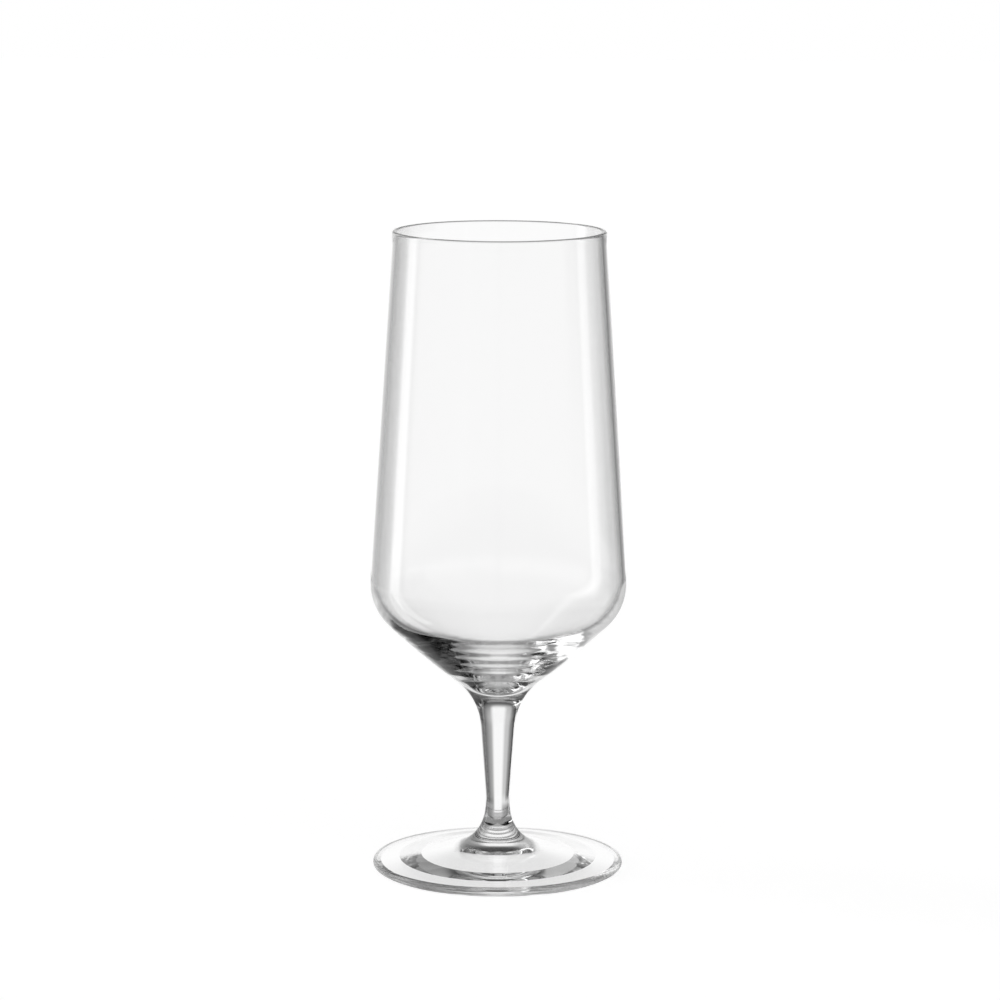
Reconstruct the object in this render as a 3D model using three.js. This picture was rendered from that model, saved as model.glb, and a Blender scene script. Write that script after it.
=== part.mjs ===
// A stemmed beer glass of clear crystal, in the three pieces that a glassworks makes it from:
// a blown bowl, a drawn stem and a pressed foot, welded to each other while they are hot.
// Millimetres, +Z up. The origin is the centre of the ring that the foot rests on.
import * as THREE from 'three';

const degrees = THREE.MathUtils.degToRad;

// Overall height, from the resting ring to the top of the lip
const HEIGHT = 188;

// Bowl, outside
const LIP_OUTER_RADIUS = 31;
const BELLY_RADIUS = 37.4;
const BELLY_HEIGHT = 84.75;
const SHOULDER_ARC_RADIUS = 16;
const CONE_BOW_RADIUS = 362;
const CONE_ANGLE_AT_SHOULDER = degrees(47.5);

// Bowl, wall and inside
const LIP_BEAD_RADIUS = 0.8;
const LIP_BEAD_PROUD = 0.25;
const LIP_BLEND_RADIUS = 20;
const BELLY_WALL = 1.2;
const INNER_SHOULDER_LIFT = 1.1;
const INNER_CONE_FLATTER = degrees(5.2);
const INNER_CONE_BOW_RADIUS = 720;
const WELL_RADIUS = 9.4;
const GLASS_UNDER_WELL = 5;

// Stem
const THROAT_ARC_RADIUS = 18.7;
const STEM_TAPER = degrees(4.3);
const WAIST_RADIUS = 3.43;
const WAIST_ARC_RADIUS = 27;
const STEM_WELD_BELOW_WAIST = 3.6;

// Foot
const KNEE_ANGLE = degrees(9.8);
const FLARE_ARC_RADIUS = 11.9;
const FOOT_RADIUS = 36.7;
const FOOT_TOP_SLOPE = degrees(9);
const FOOT_EDGE_RADIUS = 1.25;
const FOOT_EDGE_LIFT = 0.35;
const RESTING_RING_INSET = 1.5;
const RESTING_RING_WIDTH = 1.2;
const OUTER_SLOPE_WIDTH = 5.5;
const LEDGE_WIDTH = 6.5;
const LEDGE_SLOPE = degrees(2);
const UNDERSIDE_SLOPE = degrees(8.3);
const CROWN_RADIUS = 9;

// Facets: how many go round, and how far an outline's chord may lie from its true arc
const AROUND = 72;
const CHORD_ERROR = 0.02;

// Outlines are lists of points (radius, height). An angle is that of the outward normal of the glass.
const point = (radius, height) => new THREE.Vector2(radius, height);
const normal = (angle) => point(Math.cos(angle), Math.sin(angle));
const along = (from, angle, distance) => from.clone().addScaledVector(normal(angle), distance);

function arc(centre, radius, start, end) {
  const widestStep = 2 * Math.acos(1 - CHORD_ERROR / Math.abs(radius));
  const steps = Math.ceil(Math.abs(end - start) / widestStep);
  const points = [];
  for (let i = 0; i <= steps; i += 1) {
    points.push(along(centre, start + ((end - start) * i) / steps, radius));
  }
  return points;
}

// The normal of a straight line that lies `lowerReach` outside one centre and `upperReach` outside another.
function normalOfTangent(lower, lowerReach, upper, upperReach) {
  const span = upper.clone().sub(lower);
  return span.angle() - Math.acos((lowerReach - upperReach) / span.length());
}

// How far a point lies outside the line through `onLine` with the normal `angle`.
const reach = (place, onLine, angle) => place.clone().sub(onLine).dot(normal(angle));

// The centre, right of the stem, that is `distance` from `centre` and `offset` outside a line.
function centreBeside(centre, distance, onLine, angle, offset) {
  const across = offset - reach(centre, onLine, angle);
  const down = Math.sqrt(distance ** 2 - across ** 2);
  return along(along(centre, angle, across), angle - Math.PI / 2, down);
}

const shoulderCentre = point(BELLY_RADIUS - SHOULDER_ARC_RADIUS, BELLY_HEIGHT);
const lipCentre = point(LIP_OUTER_RADIUS - LIP_BEAD_RADIUS, HEIGHT - LIP_BEAD_RADIUS);
const bowCentre = along(shoulderCentre, -CONE_ANGLE_AT_SHOULDER, SHOULDER_ARC_RADIUS - CONE_BOW_RADIUS);

// The foot's top is a shallow cone that runs into the rounded edge.
const edgeCentre = point(FOOT_RADIUS - FOOT_EDGE_RADIUS, FOOT_EDGE_LIFT + FOOT_EDGE_RADIUS);
const footTopNormal = Math.PI / 2 - FOOT_TOP_SLOPE;
const onFootTop = along(edgeCentre, footTopNormal, FOOT_EDGE_RADIUS);

// Two hollow arcs, the waist's and the flare's, touch at the knee. The flare runs into the foot's top.
const kneeShift = WAIST_ARC_RADIUS - FLARE_ARC_RADIUS;
const flareCentreRadius = WAIST_RADIUS + WAIST_ARC_RADIUS - kneeShift * Math.cos(KNEE_ANGLE);
const flareCentreDrop = (flareCentreRadius - onFootTop.x) * Math.cos(footTopNormal);
const flareCentreHeight = onFootTop.y + (FLARE_ARC_RADIUS - flareCentreDrop) / Math.sin(footTopNormal);
const flareCentre = point(flareCentreRadius, flareCentreHeight);
const waistCentre = along(flareCentre, KNEE_ANGLE, kneeShift);
const waistHeight = waistCentre.y;

// The throat is a hollow arc between the bowed cone and the straight taper of the stem.
const onTaper = along(waistCentre, -STEM_TAPER, -WAIST_ARC_RADIUS);
const throatCentre = centreBeside(
  bowCentre,
  CONE_BOW_RADIUS + THROAT_ARC_RADIUS,
  onTaper,
  -STEM_TAPER,
  THROAT_ARC_RADIUS,
);
const coneFootNormal = throatCentre.clone().sub(bowCentre).angle() - 2 * Math.PI;
const coneFoot = along(bowCentre, coneFootNormal, CONE_BOW_RADIUS);

// The outside wall leans in from the shoulder and swells a little into the fire-polished lip.
const lipReach = LIP_BEAD_RADIUS - LIP_BEAD_PROUD;
const wallNormal = normalOfTangent(shoulderCentre, SHOULDER_ARC_RADIUS, lipCentre, lipReach);
const blendReach = LIP_BLEND_RADIUS + lipReach;
const blendDrop = Math.sqrt((LIP_BLEND_RADIUS + LIP_BEAD_RADIUS) ** 2 - blendReach ** 2);
const blendCentre = along(along(lipCentre, wallNormal, blendReach), wallNormal - Math.PI / 2, blendDrop);
const beadNormal = blendCentre.clone().sub(lipCentre).angle() - 2 * Math.PI;

// Inside, the wall touches the lip's bead. The shoulder's inner arc sits higher than the outer one, so
// the wall thickens from the belly to the cone. The inner cone is flatter than the outer one, and bows
// less, so the glass thickens again towards the well, which is round.
const innerShoulderArc = SHOULDER_ARC_RADIUS - BELLY_WALL;
const innerShoulderCentre = point(shoulderCentre.x, shoulderCentre.y + INNER_SHOULDER_LIFT);
const innerWallNormal = normalOfTangent(innerShoulderCentre, innerShoulderArc, lipCentre, -LIP_BEAD_RADIUS);
const innerConeNormal = -CONE_ANGLE_AT_SHOULDER - INNER_CONE_FLATTER;
const innerBowSpan = innerShoulderArc - INNER_CONE_BOW_RADIUS;
const innerBowCentre = along(innerShoulderCentre, innerConeNormal, innerBowSpan);
const wellSpan = INNER_CONE_BOW_RADIUS - WELL_RADIUS;
const wellCentre = point(0, innerBowCentre.y - Math.sqrt(wellSpan ** 2 - innerBowCentre.x ** 2));
const wellNormal = wellCentre.clone().sub(innerBowCentre).angle() - 2 * Math.PI;
const wellBottom = wellCentre.y - WELL_RADIUS;

const bowlWeldHeight = wellBottom - GLASS_UNDER_WELL;
const stemWeldHeight = waistHeight - STEM_WELD_BELOW_WAIST;

const ringOuter = point(FOOT_RADIUS - RESTING_RING_INSET, 0);

// The whole outside of the glass, from the top of the lip to the lower side of the foot's edge
function outsideOutline() {
  const edgeFootNormal = normalOfTangent(ringOuter, 0, edgeCentre, FOOT_EDGE_RADIUS);
  return [
    ...arc(lipCentre, LIP_BEAD_RADIUS, Math.PI / 2, beadNormal),
    ...arc(blendCentre, -LIP_BLEND_RADIUS, beadNormal, wallNormal).slice(1),
    ...arc(shoulderCentre, SHOULDER_ARC_RADIUS, wallNormal, -CONE_ANGLE_AT_SHOULDER),
    ...arc(bowCentre, CONE_BOW_RADIUS, -CONE_ANGLE_AT_SHOULDER, coneFootNormal).slice(1),
    ...arc(throatCentre, -THROAT_ARC_RADIUS, coneFootNormal, -STEM_TAPER).slice(1),
    ...arc(waistCentre, -WAIST_ARC_RADIUS, -STEM_TAPER, KNEE_ANGLE),
    ...arc(flareCentre, -FLARE_ARC_RADIUS, KNEE_ANGLE, footTopNormal).slice(1),
    ...arc(edgeCentre, FOOT_EDGE_RADIUS, footTopNormal, edgeFootNormal),
  ];
}

// The cavity of the bowl, from the bottom of the well to the top of the lip
function insideOutline() {
  return [
    ...arc(wellCentre, WELL_RADIUS, -Math.PI / 2, wellNormal),
    ...arc(innerBowCentre, INNER_CONE_BOW_RADIUS, wellNormal, innerConeNormal).slice(1),
    ...arc(innerShoulderCentre, innerShoulderArc, innerConeNormal, innerWallNormal).slice(1),
    ...arc(lipCentre, -LIP_BEAD_RADIUS, innerWallNormal, -Math.PI / 2).slice(0, -1),
  ];
}

// The stretch of an outline between two heights, cut square to the axis
function stretch(outline, top, bottom) {
  const points = [];
  outline.forEach((place, i) => {
    const before = outline[Math.max(i - 1, 0)];
    for (const cut of [top, bottom]) {
      if (before.y > cut && place.y < cut) {
        points.push(before.clone().lerp(place, (before.y - cut) / (before.y - place.y)));
      }
    }
    if (place.y <= top && place.y >= bottom) {
      points.push(place);
    }
  });
  return points;
}

const glass = () => new THREE.MeshStandardMaterial({
  color: 0xf4f7f7,
  roughness: 0.03,
  metalness: 0,
  transparent: true,
  opacity: 0.35,
});

// Turns an outline that runs down the outside and closes on the axis into one solid of glass.
function turned(name, outline) {
  const geometry = new THREE.LatheGeometry([...outline].reverse(), AROUND);
  geometry.rotateX(Math.PI / 2);
  const mesh = new THREE.Mesh(geometry, glass());
  mesh.name = name;
  return mesh;
}

function bowl(outside) {
  const wall = stretch(outside, HEIGHT, bowlWeldHeight);
  return turned('bowl', [...insideOutline(), ...wall, point(0, bowlWeldHeight)]);
}

function stem(outside) {
  const side = stretch(outside, bowlWeldHeight, stemWeldHeight);
  return turned('stem', [point(0, bowlWeldHeight), ...side, point(0, stemWeldHeight)]);
}

// The foot's underside rises from the resting ring to a nearly level ledge, and again to a round crown.
function underside() {
  const rise = (distance) => distance * Math.tan(UNDERSIDE_SLOPE);
  const ringInner = point(ringOuter.x - RESTING_RING_WIDTH, 0);
  const ledgeOuter = point(ringInner.x - OUTER_SLOPE_WIDTH, rise(OUTER_SLOPE_WIDTH));
  const ledgeRise = LEDGE_WIDTH * Math.tan(LEDGE_SLOPE);
  const ledgeInner = point(ledgeOuter.x - LEDGE_WIDTH, ledgeOuter.y + ledgeRise);
  const crownEdge = ledgeInner.y + rise(ledgeInner.x - CROWN_RADIUS);
  const crownArcRadius = CROWN_RADIUS / Math.sin(UNDERSIDE_SLOPE);
  const crownCentre = point(0, crownEdge - crownArcRadius * Math.cos(UNDERSIDE_SLOPE));
  const crown = arc(crownCentre, crownArcRadius, Math.PI / 2 - UNDERSIDE_SLOPE, Math.PI / 2);
  return [ringOuter, ringInner, ledgeOuter, ledgeInner, ...crown];
}

function foot(outside) {
  const side = stretch(outside, stemWeldHeight, 0);
  return turned('foot', [point(0, stemWeldHeight), ...side, ...underside()]);
}

const outside = outsideOutline();
const beerGlass = new THREE.Group();
beerGlass.add(bowl(outside), stem(outside), foot(outside));

export default beerGlass;
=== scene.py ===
"""A stemmed beer glass of clear crystal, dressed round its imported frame.

The bowl is blown, the stem is drawn and the foot is pressed, and the three are welded hot.
Each is a fine turned solid here, with the slight marks that its making leaves in the glass.
"""

import math

import bpy
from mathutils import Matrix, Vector


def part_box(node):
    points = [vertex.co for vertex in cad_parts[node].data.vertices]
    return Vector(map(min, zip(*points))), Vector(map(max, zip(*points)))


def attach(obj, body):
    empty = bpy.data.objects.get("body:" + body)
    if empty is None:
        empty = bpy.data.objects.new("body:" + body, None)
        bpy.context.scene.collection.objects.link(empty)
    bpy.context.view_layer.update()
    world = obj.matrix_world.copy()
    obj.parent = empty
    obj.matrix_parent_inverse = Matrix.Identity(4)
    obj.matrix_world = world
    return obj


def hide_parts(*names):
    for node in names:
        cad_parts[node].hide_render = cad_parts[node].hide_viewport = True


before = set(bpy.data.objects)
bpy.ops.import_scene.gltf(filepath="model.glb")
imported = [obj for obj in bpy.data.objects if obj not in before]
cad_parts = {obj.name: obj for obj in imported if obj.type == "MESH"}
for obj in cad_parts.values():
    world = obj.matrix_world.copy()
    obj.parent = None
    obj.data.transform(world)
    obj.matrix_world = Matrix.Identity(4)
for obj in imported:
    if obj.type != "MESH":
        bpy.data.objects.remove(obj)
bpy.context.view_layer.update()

bl_info = {
    "name": "Stemmed Beer Glass",
    "version": (1, 0, 0),
    "blender": (4, 5, 0),
    "location": "3D View > Sidebar > Beer Glass",
    "description": "Builds a stemmed beer glass of clear crystal and a white studio for it",
    "category": "Object",
}

MM = 0.001
bowl_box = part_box("bowl")
stem_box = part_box("stem")
foot_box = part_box("foot")


class BowlSizes(bpy.types.PropertyGroup):
    height: bpy.props.FloatProperty(
        name="Height", description="From the table to the top of the lip",
        default=bowl_box[1][2], subtype="DISTANCE", unit="LENGTH",
    )
    belly_radius: bpy.props.FloatProperty(
        name="Belly radius", description="Widest radius of the bowl, outside",
        default=bowl_box[1][0], subtype="DISTANCE", unit="LENGTH",
    )
    belly_height: bpy.props.FloatProperty(
        name="Belly height", description="Height of the centre of the shoulder's arc",
        default=84.75 * MM, subtype="DISTANCE", unit="LENGTH",
    )
    lip_radius: bpy.props.FloatProperty(
        name="Lip radius", description="Outer radius of the fire-polished lip",
        default=31 * MM, subtype="DISTANCE", unit="LENGTH",
    )
    lip_bead_radius: bpy.props.FloatProperty(
        name="Lip bead", description="Radius of the round edge of the lip",
        default=0.8 * MM, subtype="DISTANCE", unit="LENGTH",
    )
    lip_bead_proud: bpy.props.FloatProperty(
        name="Lip swell", description="How far the lip stands out from the wall below it",
        default=0.25 * MM, subtype="DISTANCE", unit="LENGTH",
    )
    lip_blend_radius: bpy.props.FloatProperty(
        name="Lip blend", description="Radius of the hollow that leads from the wall into the lip",
        default=20 * MM, subtype="DISTANCE", unit="LENGTH",
    )
    shoulder_radius: bpy.props.FloatProperty(
        name="Shoulder arc", description="Radius of the arc between the wall and the cone, outside",
        default=16 * MM, subtype="DISTANCE", unit="LENGTH",
    )
    cone_bow_radius: bpy.props.FloatProperty(
        name="Cone bow", description="Radius of the slight bow of the cone, outside",
        default=362 * MM, subtype="DISTANCE", unit="LENGTH",
    )
    cone_angle: bpy.props.FloatProperty(
        name="Cone angle", description="Lean of the cone from upright, where it leaves the shoulder",
        default=math.radians(47.5), subtype="ANGLE", unit="ROTATION",
    )
    belly_wall: bpy.props.FloatProperty(
        name="Wall", description="Thickness of the glass at the belly",
        default=1.2 * MM, subtype="DISTANCE", unit="LENGTH",
    )
    inner_lift: bpy.props.FloatProperty(
        name="Inner lift", description="How far the shoulder's inner arc sits over the outer one",
        default=1.1 * MM, subtype="DISTANCE", unit="LENGTH",
    )
    inner_flatter: bpy.props.FloatProperty(
        name="Inner cone", description="How much flatter the inner cone is than the outer one",
        default=math.radians(5.2), subtype="ANGLE", unit="ROTATION",
    )
    inner_bow_radius: bpy.props.FloatProperty(
        name="Inner bow", description="Radius of the slight bow of the cone, inside",
        default=720 * MM, subtype="DISTANCE", unit="LENGTH",
    )
    ripple: bpy.props.FloatProperty(
        name="Ripple", description="Depth of the slight rings that blowing leaves inside the cone",
        default=0.02 * MM, subtype="DISTANCE", unit="LENGTH", precision=6,
    )
    ripple_spacing: bpy.props.FloatProperty(
        name="Ripple spacing", description="Height from one ring of the ripple to the next",
        default=2.6 * MM, subtype="DISTANCE", unit="LENGTH", precision=6,
    )
    well_radius: bpy.props.FloatProperty(
        name="Well", description="Radius of the round bottom of the cavity",
        default=9.4 * MM, subtype="DISTANCE", unit="LENGTH",
    )


class StemSizes(bpy.types.PropertyGroup):
    throat_radius: bpy.props.FloatProperty(
        name="Throat arc", description="Radius of the hollow between the cone and the stem",
        default=18.7 * MM, subtype="DISTANCE", unit="LENGTH",
    )
    taper: bpy.props.FloatProperty(
        name="Taper", description="Lean of the stem's side from upright",
        default=math.radians(4.3), subtype="ANGLE", unit="ROTATION",
    )
    waist_radius: bpy.props.FloatProperty(
        name="Waist", description="Least radius of the stem",
        default=3.43 * MM, subtype="DISTANCE", unit="LENGTH",
    )
    waist_arc_radius: bpy.props.FloatProperty(
        name="Waist arc", description="Radius of the hollow at the stem's waist",
        default=27 * MM, subtype="DISTANCE", unit="LENGTH",
    )


class FootSizes(bpy.types.PropertyGroup):
    radius: bpy.props.FloatProperty(
        name="Radius", description="Outer radius of the foot",
        default=foot_box[1][0], subtype="DISTANCE", unit="LENGTH",
    )
    knee_angle: bpy.props.FloatProperty(
        name="Knee", description="Lean of the hub where the waist's hollow gives way to the flare",
        default=math.radians(9.8), subtype="ANGLE", unit="ROTATION",
    )
    flare_radius: bpy.props.FloatProperty(
        name="Flare arc", description="Radius of the hollow between the hub and the plate",
        default=11.9 * MM, subtype="DISTANCE", unit="LENGTH",
    )
    top_slope: bpy.props.FloatProperty(
        name="Top slope", description="Fall of the plate's top towards the edge",
        default=math.radians(9), subtype="ANGLE", unit="ROTATION",
    )
    edge_radius: bpy.props.FloatProperty(
        name="Edge", description="Radius of the rounded edge",
        default=1.25 * MM, subtype="DISTANCE", unit="LENGTH",
    )
    edge_lift: bpy.props.FloatProperty(
        name="Edge lift", description="Height of the edge's underside over the table",
        default=0.35 * MM, subtype="DISTANCE", unit="LENGTH",
    )
    ring_inset: bpy.props.FloatProperty(
        name="Ring inset", description="From the outermost edge in to the ring that the foot stands on",
        default=1.5 * MM, subtype="DISTANCE", unit="LENGTH",
    )
    ring_width: bpy.props.FloatProperty(
        name="Ring width", description="Width of the ring that the foot stands on",
        default=1.2 * MM, subtype="DISTANCE", unit="LENGTH",
    )
    outer_slope_width: bpy.props.FloatProperty(
        name="Outer slope", description="Width of the sloping band between the ring and the ledge",
        default=5.5 * MM, subtype="DISTANCE", unit="LENGTH",
    )
    ledge_width: bpy.props.FloatProperty(
        name="Ledge", description="Width of the nearly level ledge of the underside",
        default=6.5 * MM, subtype="DISTANCE", unit="LENGTH",
    )
    ledge_slope: bpy.props.FloatProperty(
        name="Ledge slope", description="Rise of the ledge towards the axis",
        default=math.radians(2), subtype="ANGLE", unit="ROTATION",
    )
    underside_slope: bpy.props.FloatProperty(
        name="Underside", description="Rise of the underside towards the axis, beside the ledge",
        default=math.radians(8.3), subtype="ANGLE", unit="ROTATION",
    )
    crown_radius: bpy.props.FloatProperty(
        name="Crown", description="Radius of the round top of the hollow under the foot",
        default=9 * MM, subtype="DISTANCE", unit="LENGTH",
    )


class GlassFinish(bpy.types.PropertyGroup):
    tint: bpy.props.StringProperty(
        name="Tint", description="Colour of the glass, as an sRGB hex value", default="#FDFDFD",
    )
    index: bpy.props.FloatProperty(
        name="Refraction", description="Index of refraction of crystal glass", default=1.5,
    )
    polish: bpy.props.FloatProperty(
        name="Roughness", description="Roughness that is left by the polish", default=0.0,
    )
    let_through: bpy.props.FloatProperty(
        name="Let through", description="Share of the light that reaches the glass's shadow", default=0.8,
    )


class StudioSizes(bpy.types.PropertyGroup):
    floor_reach: bpy.props.FloatProperty(
        name="Floor reach", description="From the middle of the table top to its edges",
        default=4000 * MM, subtype="DISTANCE", unit="LENGTH",
    )
    floor_colour: bpy.props.StringProperty(
        name="Floor colour", description="Colour of the table top, as an sRGB hex value", default="#F4F4F4",
    )
    floor_glow: bpy.props.FloatProperty(
        name="Floor glow", description="Light that comes up through the table top, where 1 is white",
        default=0.78,
    )
    camera_side: bpy.props.FloatProperty(
        name="Camera side", description="How far the camera stands to the right of the glass's axis",
        default=0.4 * MM, subtype="DISTANCE", unit="LENGTH", precision=6,
    )
    camera_distance: bpy.props.FloatProperty(
        name="Camera distance", description="From the glass's axis to the camera, level",
        default=1182 * MM, subtype="DISTANCE", unit="LENGTH",
    )
    camera_height: bpy.props.FloatProperty(
        name="Camera height", description="Height of the camera over the table",
        default=307.2 * MM, subtype="DISTANCE", unit="LENGTH",
    )
    camera_pitch: bpy.props.FloatProperty(
        name="Camera pitch", description="How far the camera looks down",
        default=math.radians(9.5), subtype="ANGLE", unit="ROTATION",
    )
    camera_roll: bpy.props.FloatProperty(
        name="Camera roll", description="How far the camera leans to the side",
        default=math.radians(0.19), subtype="ANGLE", unit="ROTATION",
    )
    lens: bpy.props.FloatProperty(
        name="Lens", description="Focal length on a frame 36 mm wide", default=148.4,
        subtype="DISTANCE_CAMERA",
    )


# Steps round the glass
AROUND = 256
# The longest step and turn along an arc, and the fewest steps in one
STEP = 0.25 * MM
TURN = math.radians(4)
FEWEST_STEPS = 3
# An edge that is longer than this gets points of its own near its ends
LONG_EDGE = 3 * STEP
# A bend that is sharper than this keeps a sharp corner in the shading
CORNER = math.radians(5)
# Rounds of easing, the most points that it adds at each end of a long edge, and the steps that it evens
EASING_ROUNDS = 24
EASING_REACH = 12
SHORTEST_EASED, LONGEST_EASED = 0.5 * STEP, 1.6 * STEP
# Places that are closer than this, in metres, are the same place
SAME_PLACE = 1e-7
# A face is level if its normal rises or falls by more than this
LEVEL = 0.999


# Outlines are lists of points (radius, height). An angle is that of the outward normal of the glass.
def point(radius, height):
    return Vector((radius, height))


def normal(angle):
    return point(math.cos(angle), math.sin(angle))


def along(start, angle, distance):
    return start + normal(angle) * distance


def angle_of(vector):
    return math.atan2(vector.y, vector.x)


def arc(centre, radius, start, end):
    """Points of an arc, no further apart than STEP, and with no more than TURN between them."""
    turn = end - start
    steps = max(FEWEST_STEPS, math.ceil(abs(turn * radius) / STEP), math.ceil(abs(turn) / TURN))
    return [along(centre, start + turn * i / steps, radius) for i in range(steps + 1)]


def normal_of_tangent(lower, lower_reach, upper, upper_reach):
    """The normal of a straight line that lies outside two centres by the two reaches."""
    span = upper - lower
    return angle_of(span) - math.acos((lower_reach - upper_reach) / span.length)


class GlassOutline:
    """The outline of the whole glass, worked out from the sizes in the scene's properties."""

    def __init__(self, scene):
        self.bowl = scene.beer_glass_bowl
        self.stem = scene.beer_glass_stem
        self.foot = scene.beer_glass_foot
        self.place_foot()
        self.place_throat()
        self.place_lip()
        self.place_inside()

    def place_foot(self):
        foot, stem = self.foot, self.stem
        self.edge_centre = point(foot.radius - foot.edge_radius, foot.edge_lift + foot.edge_radius)
        self.foot_top_normal = math.pi / 2 - foot.top_slope
        on_top = along(self.edge_centre, self.foot_top_normal, foot.edge_radius)
        knee_shift = stem.waist_arc_radius - foot.flare_radius
        flare_x = stem.waist_radius + stem.waist_arc_radius - knee_shift * math.cos(foot.knee_angle)
        drop = (flare_x - on_top.x) * math.cos(self.foot_top_normal)
        flare_y = on_top.y + (foot.flare_radius - drop) / math.sin(self.foot_top_normal)
        self.flare_centre = point(flare_x, flare_y)
        self.waist_centre = along(self.flare_centre, foot.knee_angle, knee_shift)

    def place_throat(self):
        bowl, stem = self.bowl, self.stem
        self.shoulder_centre = point(bowl.belly_radius - bowl.shoulder_radius, bowl.belly_height)
        bow_span = bowl.shoulder_radius - bowl.cone_bow_radius
        self.bow_centre = along(self.shoulder_centre, -bowl.cone_angle, bow_span)
        on_taper = along(self.waist_centre, -stem.taper, -stem.waist_arc_radius)
        across = stem.throat_radius - (self.bow_centre - on_taper).dot(normal(-stem.taper))
        down = math.sqrt((bowl.cone_bow_radius + stem.throat_radius) ** 2 - across ** 2)
        beside = along(self.bow_centre, -stem.taper, across)
        self.throat_centre = along(beside, -stem.taper - math.pi / 2, down)
        self.cone_foot_normal = angle_of(self.throat_centre - self.bow_centre)

    def place_lip(self):
        bowl = self.bowl
        bead = bowl.lip_bead_radius
        self.lip_centre = point(bowl.lip_radius - bead, bowl.height - bead)
        lip_reach = bead - bowl.lip_bead_proud
        self.wall_normal = normal_of_tangent(
            self.shoulder_centre, bowl.shoulder_radius, self.lip_centre, lip_reach
        )
        reach = bowl.lip_blend_radius + lip_reach
        drop = math.sqrt((bowl.lip_blend_radius + bead) ** 2 - reach ** 2)
        beside = along(self.lip_centre, self.wall_normal, reach)
        self.blend_centre = along(beside, self.wall_normal - math.pi / 2, drop)
        self.bead_normal = angle_of(self.blend_centre - self.lip_centre)

    def place_inside(self):
        bowl = self.bowl
        self.inner_shoulder_radius = bowl.shoulder_radius - bowl.belly_wall
        self.inner_shoulder_centre = self.shoulder_centre + point(0, bowl.inner_lift)
        self.inner_wall_normal = normal_of_tangent(
            self.inner_shoulder_centre, self.inner_shoulder_radius,
            self.lip_centre, -bowl.lip_bead_radius,
        )
        self.inner_cone_normal = -bowl.cone_angle - bowl.inner_flatter
        bow_span = self.inner_shoulder_radius - bowl.inner_bow_radius
        self.inner_bow_centre = along(self.inner_shoulder_centre, self.inner_cone_normal, bow_span)
        well_span = bowl.inner_bow_radius - bowl.well_radius
        well_drop = math.sqrt(well_span ** 2 - self.inner_bow_centre.x ** 2)
        self.well_centre = point(0, self.inner_bow_centre.y - well_drop)
        self.well_normal = angle_of(self.well_centre - self.inner_bow_centre)

    def outside(self):
        """The outside, from the top of the lip down to the lower side of the foot's edge."""
        bowl, stem, foot = self.bowl, self.stem, self.foot
        ring_edge = point(foot.radius - foot.ring_inset, 0)
        under_normal = normal_of_tangent(ring_edge, 0, self.edge_centre, foot.edge_radius)
        return eased(without_repeats(
            arc(self.lip_centre, bowl.lip_bead_radius, math.pi / 2, self.bead_normal)
            + arc(self.blend_centre, -bowl.lip_blend_radius, self.bead_normal, self.wall_normal)[1:]
            + arc(self.shoulder_centre, bowl.shoulder_radius, self.wall_normal, -bowl.cone_angle)
            + arc(self.bow_centre, bowl.cone_bow_radius, -bowl.cone_angle, self.cone_foot_normal)[1:]
            + arc(self.throat_centre, -stem.throat_radius, self.cone_foot_normal, -stem.taper)[1:]
            + arc(self.waist_centre, -stem.waist_arc_radius, -stem.taper, foot.knee_angle)
            + arc(self.flare_centre, -foot.flare_radius, foot.knee_angle, self.foot_top_normal)[1:]
            + arc(self.edge_centre, foot.edge_radius, self.foot_top_normal, under_normal)
        ))

    def inside(self):
        """The cavity, from the bottom of the well up to the top of the lip."""
        bowl = self.bowl
        shoulder, shoulder_radius = self.inner_shoulder_centre, self.inner_shoulder_radius
        cone_normal, wall_normal = self.inner_cone_normal, self.inner_wall_normal
        cavity = eased(without_repeats(
            arc(self.well_centre, bowl.well_radius, -math.pi / 2, self.well_normal)
            + arc(self.inner_bow_centre, bowl.inner_bow_radius, self.well_normal, cone_normal)[1:]
            + arc(shoulder, shoulder_radius, cone_normal, wall_normal)[1:]
            + arc(self.lip_centre, -bowl.lip_bead_radius, wall_normal, -math.pi / 2)[:-1]
        ))
        # The rings are deepest half-way up, and fade out towards the bottom, the axis and the shoulder
        low = self.well_centre.y - bowl.well_radius
        high = along(shoulder, cone_normal, shoulder_radius).y
        for place in cavity:
            part = (place.y - low) / (high - low)
            if 0 < part < 1:
                ring = bowl.ripple * math.sin(math.tau * (place.y - low) / bowl.ripple_spacing)
                ring *= math.sin(math.pi * part)
                ring *= min(1, place.x / bowl.well_radius)
                place.x += ring
        return cavity

    def underside(self):
        """The foot's underside: resting ring, slope, nearly level ledge, slope and round crown."""
        foot = self.foot
        rise = math.tan(foot.underside_slope)
        ring_outer = point(foot.radius - foot.ring_inset, 0)
        ring_inner = ring_outer - point(foot.ring_width, 0)
        ledge_outer = ring_inner + point(-1, rise) * foot.outer_slope_width
        ledge_inner = ledge_outer + point(-1, math.tan(foot.ledge_slope)) * foot.ledge_width
        crown_edge = ledge_inner.y + rise * (ledge_inner.x - foot.crown_radius)
        crown_arc = foot.crown_radius / math.sin(foot.underside_slope)
        crown_centre = point(0, crown_edge - crown_arc * math.cos(foot.underside_slope))
        crown = arc(crown_centre, crown_arc, math.pi / 2 - foot.underside_slope, math.pi / 2)
        return [ring_outer, ring_inner, ledge_outer, ledge_inner] + crown


def stretch(outline, top, bottom):
    """The stretch of an outline between two heights, cut square to the axis."""
    points = []
    for before, place in zip([outline[0]] + outline, outline):
        for cut in (top, bottom):
            if before.y > cut > place.y:
                points.append(before.lerp(place, (before.y - cut) / (before.y - place.y)))
        if bottom <= place.y <= top:
            points.append(place)
    return points


def without_repeats(outline):
    kept = [outline[0]]
    for place in outline[1:]:
        if (place - kept[-1]).length > SAME_PLACE:
            kept.append(place)
    return kept


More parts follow.
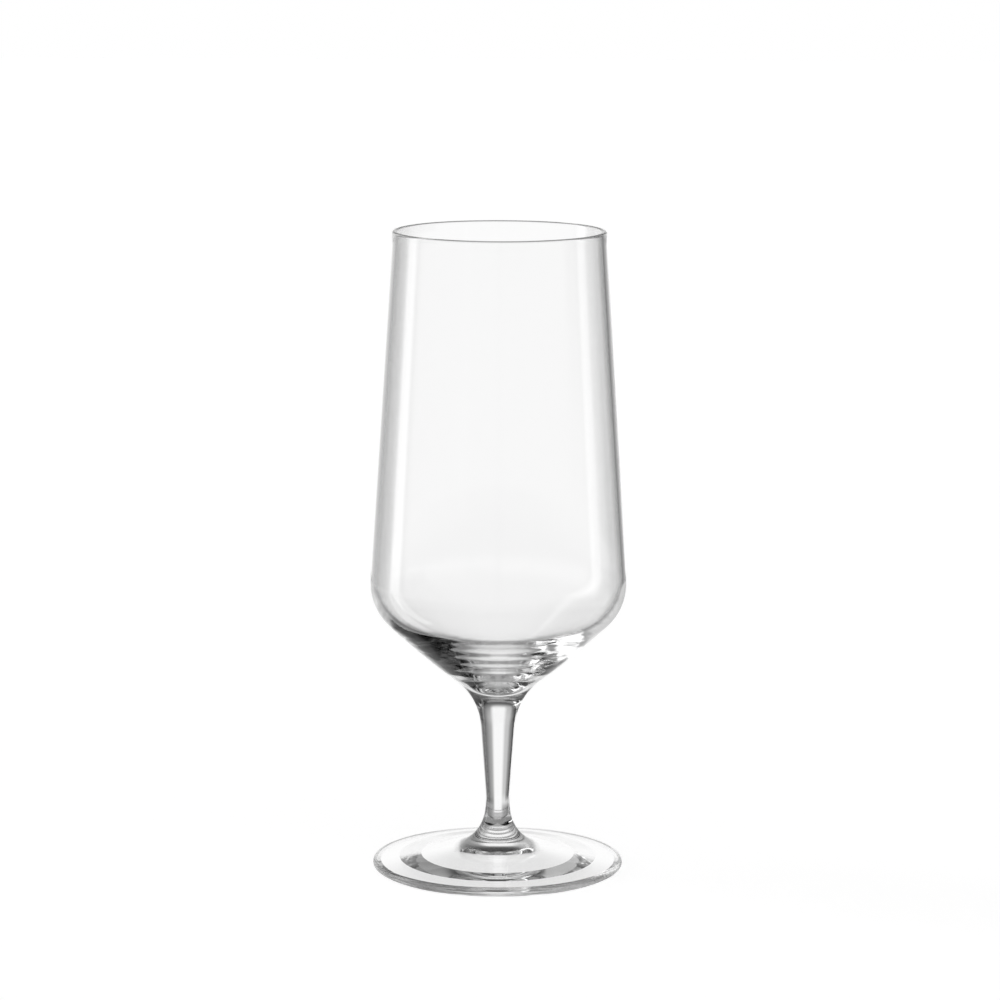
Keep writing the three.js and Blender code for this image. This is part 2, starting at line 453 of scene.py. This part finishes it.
def with_margins(outline):
    """Puts a point near each end of a long edge, so that its shading bends only there."""
    points = [outline[0]]
    for before, place in zip(outline, outline[1:]):
        length = (place - before).length
        if length > LONG_EDGE:
            points += [before.lerp(place, STEP / length), before.lerp(place, 1 - STEP / length)]
        points.append(place)
    return points


def eased(outline):
    """Hot glass flows: where two curves meet, the curvature changes over about two millimetres."""
    points = [outline[0]]
    for before, place in zip(outline, outline[1:]):
        length = (place - before).length
        near = []
        if length > LONG_EDGE:
            near = [i * STEP / length for i in range(1, EASING_REACH + 1) if 2 * i * STEP < length]
        points += [before.lerp(place, part) for part in near]
        points += [before.lerp(place, 1 - part) for part in reversed(near)]
        points.append(place)
    for _ in range(EASING_ROUNDS):
        moved = [points[0]]
        for before, place, after in zip(points, points[1:], points[2:]):
            steps = (place - before).length, (after - place).length
            even = all(SHORTEST_EASED < step < LONGEST_EASED for step in steps)
            moved.append(before / 4 + place / 2 + after / 4 if even else place)
        points = moved + [points[-1]]
    return points


def edge_normals(outline):
    """For each edge of the outline, the surface's normal at its two ends. A corner stays sharp."""
    edges = [b - a for a, b in zip(outline, outline[1:])]
    own = [point(-edge.y, edge.x).normalized() for edge in edges]
    normals = []
    for i, side in enumerate(own):
        ends = []
        for j in (i - 1, i + 1):
            if 0 <= j < len(own) and side.angle(own[j]) < CORNER:
                ends.append((side * edges[j].length + own[j] * edges[i].length).normalized())
            elif 0 <= j < len(own):
                ends.append(side)
            else:
                ends.append(point(0, math.copysign(1, side.y)))
        normals.append(ends)
    return normals


def turned(name, outline):
    """A closed solid of revolution with exact normals, from an outline that runs down the outside."""
    outline = with_margins(without_repeats(outline))
    normals = edge_normals(outline)
    turns = [(math.cos(math.tau * k / AROUND), math.sin(math.tau * k / AROUND)) for k in range(AROUND)]
    vertices, rows = [], []
    for place in outline:
        if place.x < SAME_PLACE:
            rows.append([len(vertices)] * AROUND)
            vertices.append((0, 0, place.y))
        else:
            rows.append(list(range(len(vertices), len(vertices) + AROUND)))
            vertices += [(place.x * c, place.x * s, place.y) for c, s in turns]
    faces, corner_normals = [], []
    for upper, lower, (top, bottom) in zip(rows, rows[1:], normals):
        for k in range(AROUND):
            after = (k + 1) % AROUND
            corners = [(upper[k], top, turns[k]), (lower[k], bottom, turns[k])]
            corners += [(lower[after], bottom, turns[after]), (upper[after], top, turns[after])]
            face = []
            for vertex, slope, (c, s) in corners:
                if vertex not in face:
                    face.append(vertex)
                    corner_normals.append((slope.x * c, slope.x * s, slope.y))
            faces.append(face)
    mesh = bpy.data.meshes.new(name)
    mesh.from_pydata(vertices, [], faces)
    mesh.polygons.foreach_set("use_smooth", [True] * len(faces))
    mesh.normals_split_custom_set(corner_normals)
    mesh.update()
    piece = bpy.data.objects.new(name, mesh)
    bpy.context.collection.objects.link(piece)
    return piece


def linear(code):
    """An sRGB hex colour as linear red, green and blue."""
    channels = [int(code[i:i + 2], 16) / 255 for i in (1, 3, 5)]
    return [c / 12.92 if c <= 0.04045 else ((c + 0.055) / 1.055) ** 2.4 for c in channels]


def add(tree, kind, settings=None, **inputs):
    """Adds a node, sets its properties, and sets or links its inputs by name or number."""
    node = tree.nodes.new(kind)
    for key, value in (settings or {}).items():
        setattr(node, key, value)
    for key, value in inputs.items():
        socket = node.inputs[int(key[1:])] if key[1:].isdigit() else node.inputs[key.replace("_", " ")]
        if isinstance(value, bpy.types.NodeSocket):
            tree.links.new(value, socket)
        else:
            socket.default_value = value
    return node


def cleared_tree(owner):
    """The node tree of a material or a world, without its first nodes."""
    owner.use_nodes = True
    owner.node_tree.nodes.clear()
    return owner.node_tree


def crystal_glass(name, finish):
    """Clear crystal glass with a fire polish: colourless, and every light shows as a sharp streak."""
    material = bpy.data.materials.new(name)
    tree = cleared_tree(material)
    glass = add(tree, "ShaderNodeBsdfPrincipled")
    glass.inputs["Base Color"].default_value = (*linear(finish.tint), 1)
    glass.inputs["Roughness"].default_value = finish.polish
    glass.inputs["IOR"].default_value = finish.index
    glass.inputs["Transmission Weight"].default_value = 1
    path = add(tree, "ShaderNodeLightPath")
    let_through = finish.let_through
    clear = add(tree, "ShaderNodeBsdfTransparent", Color=(let_through, let_through, let_through, 1))
    mix = add(
        tree, "ShaderNodeMixShader",
        _0=path.outputs["Is Shadow Ray"], _1=glass.outputs["BSDF"], _2=clear.outputs["BSDF"],
    )
    add(tree, "ShaderNodeOutputMaterial", Surface=mix.outputs["Shader"])
    return material


def weld_seam():
    """The two welded faces have run together, so light goes straight through where they meet."""
    material = bpy.data.materials.new("Run-together weld")
    tree = cleared_tree(material)
    clear = add(tree, "ShaderNodeBsdfTransparent")
    add(tree, "ShaderNodeOutputMaterial", Surface=clear.outputs["BSDF"])
    return material


def dress(piece, node, glass, weld_heights):
    """Gives a piece its glass, lets light through its welds, and puts it in its node's place."""
    piece.data.materials.append(glass)
    piece.data.materials.append(weld_seam())
    for face in piece.data.polygons:
        for height in weld_heights:
            if abs(face.center.z - height) < SAME_PLACE and abs(face.normal.z) > LEVEL:
                face.material_index = 1
    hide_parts(node)
    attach(piece, "root")


class BEERGLASS_OT_bowl(bpy.types.Operator):
    """Build the blown bowl, with its lip, its thick cone and the root of the stem"""
    bl_idname = "beer_glass.bowl"
    bl_label = "Bowl"

    def execute(self, context):
        outline = GlassOutline(context.scene)
        weld = bowl_box[0][2]
        wall = stretch(outline.outside(), context.scene.beer_glass_bowl.height, weld)
        piece = turned("blown_bowl", outline.inside() + wall + [point(0, weld)])
        glass = crystal_glass("Blown crystal glass", context.scene.beer_glass_finish)
        dress(piece, "bowl", glass, [weld])
        return {"FINISHED"}


class BEERGLASS_OT_stem(bpy.types.Operator):
    """Build the drawn stem, between its two welds"""
    bl_idname = "beer_glass.stem"
    bl_label = "Stem"

    def execute(self, context):
        outline = GlassOutline(context.scene)
        top, bottom = stem_box[1][2], stem_box[0][2]
        side = stretch(outline.outside(), top, bottom)
        piece = turned("drawn_stem", [point(0, top)] + side + [point(0, bottom)])
        glass = crystal_glass("Drawn crystal glass", context.scene.beer_glass_finish)
        dress(piece, "stem", glass, [top, bottom])
        return {"FINISHED"}


class BEERGLASS_OT_foot(bpy.types.Operator):
    """Build the pressed foot, with its hub, plate, edge and resting ring"""
    bl_idname = "beer_glass.foot"
    bl_label = "Foot"

    def execute(self, context):
        outline = GlassOutline(context.scene)
        weld = foot_box[1][2]
        side = stretch(outline.outside(), weld, 0)
        piece = turned("pressed_foot", [point(0, weld)] + side + outline.underside())
        glass = crystal_glass("Pressed crystal glass", context.scene.beer_glass_finish)
        dress(piece, "foot", glass, [weld])
        return {"FINISHED"}


# What the glass sees round it, as fitted to the photograph. ROOM is the brightness
# where no card stands, and 1 is white. Each card has two azimuths, which count from straight behind the glass
# towards the right, two elevations over the horizon and half the width of its soft edge, all in degrees, and
# its brightness. A later card covers an earlier one.
ROOM = 0.4
CARDS = {
    "ceiling": (-180, 180, 30, 90, 10, 0.25),
    "wall behind the camera, right": (80, 180, -15, 10, 5, 0.8),
    "wall behind the camera, left": (-180, -85, -15, 20, 5, 0.8),
    "white table": (-180, 180, -20, -12, 5, 0.9),
    "table near the glass": (-180, 180, -90, -20, 5, 0.25),
    "flag under the camera": (-95, 70, -70, -45, 5, 0.0),
    "table behind the glass": (-20, 20, -90, -25, 5, 0.4),
    "left flag": (-60, -30, -15, 70, 5, 0.0),
    "right flag": (10, 60, -20, 65, 5, 0.05),
    "right wall": (60, 105, 0, 65, 5, 0.0),
    "flag over the background": (-45, 45, 25, 60, 5, 0.05),
    "glow round the background": (-35, 25, -15, 20, 20, 0.65),
    "left softbox": (-80, -65, -55, 50, 2, 1.6),
}
# Where the white background stands behind the glass, in the same angles. It covers the cards.
BACKGROUND = (-15, 12, -30, 20, 5)
ALL_ROUND = 360
# Some of the light is reflected dozens of times between the two faces of the cone before it comes out
BOUNCES = 64


def window(tree, angle, start, end, blur):
    """How far an angle in radians lies between two limits in degrees: 0 outside, 1 inside."""
    rise = add(
        tree, "ShaderNodeMapRange", {"interpolation_type": "SMOOTHSTEP"}, Value=angle,
        From_Min=math.radians(start - blur), From_Max=math.radians(start + blur),
    )
    fall = add(
        tree, "ShaderNodeMapRange", {"interpolation_type": "SMOOTHSTEP"}, Value=angle,
        From_Min=math.radians(end + blur), From_Max=math.radians(end - blur),
    )
    both = add(tree, "ShaderNodeMath", {"operation": "MULTIPLY"}, _0=rise.outputs[0], _1=fall.outputs[0])
    return both.outputs[0]


def patch(tree, azimuth, elevation, left, right, low, high, blur):
    """How far a direction lies in a patch of the surroundings: 0 outside, 1 inside."""
    across = 1.0
    if right - left < ALL_ROUND:
        across = window(tree, azimuth.outputs[0], left, right, blur)
    up = window(tree, elevation.outputs[0], low, high, blur)
    return add(tree, "ShaderNodeMath", {"operation": "MULTIPLY"}, _0=across, _1=up).outputs[0]


def studio_world():
    """The white background, for the camera and through the glass, and the cards round the glass."""
    world = bpy.data.worlds.new("Studio")
    tree = cleared_tree(world)
    place = add(tree, "ShaderNodeTexCoord")
    way = add(tree, "ShaderNodeSeparateXYZ", Vector=place.outputs["Generated"])
    azimuth = add(
        tree, "ShaderNodeMath", {"operation": "ARCTAN2"}, _0=way.outputs["X"], _1=way.outputs["Y"],
    )
    elevation = add(tree, "ShaderNodeMath", {"operation": "ARCSINE"}, _0=way.outputs["Z"])
    level = ROOM
    for *limits, brightness in CARDS.values():
        card = patch(tree, azimuth, elevation, *limits)
        over = add(tree, "ShaderNodeMix", {"data_type": "FLOAT"}, Factor=card, A=level, B=brightness)
        level = over.outputs[0]
    path = add(tree, "ShaderNodeLightPath")
    bent = add(
        tree, "ShaderNodeMath", {"operation": "MAXIMUM"},
        _0=path.outputs["Is Glossy Ray"], _1=path.outputs["Is Transmission Ray"],
    )
    behind = patch(tree, azimuth, elevation, *BACKGROUND)
    through = add(tree, "ShaderNodeMath", {"operation": "MULTIPLY"}, _0=bent.outputs[0], _1=behind)
    white = add(
        tree, "ShaderNodeMath", {"operation": "MAXIMUM"},
        _0=path.outputs["Is Camera Ray"], _1=through.outputs[0],
    )
    around = add(tree, "ShaderNodeBackground", Color=(1, 1, 1, 1), Strength=level)
    background = add(tree, "ShaderNodeBackground", Color=(1, 1, 1, 1), Strength=1.0)
    mix = add(
        tree, "ShaderNodeMixShader", _0=white.outputs[0], _1=around.outputs[0], _2=background.outputs[0],
    )
    add(tree, "ShaderNodeOutputWorld", Surface=mix.outputs[0])
    bpy.context.scene.world = world


def studio_floor(sizes):
    """A white table top of acrylic sheet: matt, lit from below, with the glass's faint shadow."""
    mesh = bpy.data.meshes.new("table_top")
    reach = sizes.floor_reach
    corners = [(-reach, -reach, 0), (reach, -reach, 0), (reach, reach, 0), (-reach, reach, 0)]
    mesh.from_pydata(corners, [], [(0, 1, 2, 3)])
    table = bpy.data.objects.new("table_top", mesh)
    bpy.context.collection.objects.link(table)
    material = bpy.data.materials.new("White acrylic sheet")
    tree = cleared_tree(material)
    matt = add(tree, "ShaderNodeBsdfDiffuse", Color=(*linear(sizes.floor_colour), 1))
    bright = add(tree, "ShaderNodeEmission", Color=(1, 1, 1, 1), Strength=sizes.floor_glow)
    mix = add(tree, "ShaderNodeAddShader", _0=matt.outputs[0], _1=bright.outputs[0])
    add(tree, "ShaderNodeOutputMaterial", Surface=mix.outputs[0])
    mesh.materials.append(material)
    table.visible_transmission = False
    table.visible_glossy = False


def studio_camera(sizes):
    data = bpy.data.cameras.new("camera")
    data.lens = sizes.lens
    camera = bpy.data.objects.new("camera", data)
    bpy.context.collection.objects.link(camera)
    camera.location = (sizes.camera_side, -sizes.camera_distance, sizes.camera_height)
    camera.rotation_euler = (math.pi / 2 - sizes.camera_pitch, 0, 0)
    camera.rotation_euler.rotate_axis("Z", sizes.camera_roll)
    bpy.context.scene.camera = camera


def let_light_run_round_in_the_glass(scene):
    scene.cycles.max_bounces = BOUNCES
    scene.cycles.glossy_bounces = BOUNCES
    scene.cycles.transmission_bounces = BOUNCES
    scene.cycles.transparent_max_bounces = BOUNCES


class BEERGLASS_OT_stage(bpy.types.Operator):
    """Set up the white studio: table top, light and camera"""
    bl_idname = "beer_glass.stage"
    bl_label = "Stage"

    def execute(self, context):
        context.scene.view_settings.view_transform = "Standard"
        let_light_run_round_in_the_glass(context.scene)
        studio_world()
        studio_floor(context.scene.beer_glass_studio)
        studio_camera(context.scene.beer_glass_studio)
        return {"FINISHED"}


class BEERGLASS_PT_panel(bpy.types.Panel):
    bl_idname = "BEERGLASS_PT_panel"
    bl_label = "Beer Glass"
    bl_space_type = "VIEW_3D"
    bl_region_type = "UI"
    bl_category = "Beer Glass"

    def draw(self, context):
        for operator in OPERATORS:
            self.layout.operator(operator.bl_idname)
        for key in GROUPS:
            box = self.layout.box()
            group = getattr(context.scene, key)
            for name in group.bl_rna.properties.keys():
                if name not in ("rna_type", "name"):
                    box.prop(group, name)


OPERATORS = (BEERGLASS_OT_bowl, BEERGLASS_OT_stem, BEERGLASS_OT_foot, BEERGLASS_OT_stage)
GROUPS = {
    "beer_glass_bowl": BowlSizes,
    "beer_glass_stem": StemSizes,
    "beer_glass_foot": FootSizes,
    "beer_glass_finish": GlassFinish,
    "beer_glass_studio": StudioSizes,
}
CLASSES = tuple(GROUPS.values()) + OPERATORS + (BEERGLASS_PT_panel,)


def register():
    for kind in CLASSES:
        bpy.utils.register_class(kind)
    for key, group in GROUPS.items():
        setattr(bpy.types.Scene, key, bpy.props.PointerProperty(type=group))


def unregister():
    for key in GROUPS:
        delattr(bpy.types.Scene, key)
    for kind in reversed(CLASSES):
        bpy.utils.unregister_class(kind)


def main():
    register()
    bpy.ops.beer_glass.bowl()
    bpy.ops.beer_glass.stem()
    bpy.ops.beer_glass.foot()
    bpy.ops.beer_glass.stage()


if __name__ == "__main__":
    main()
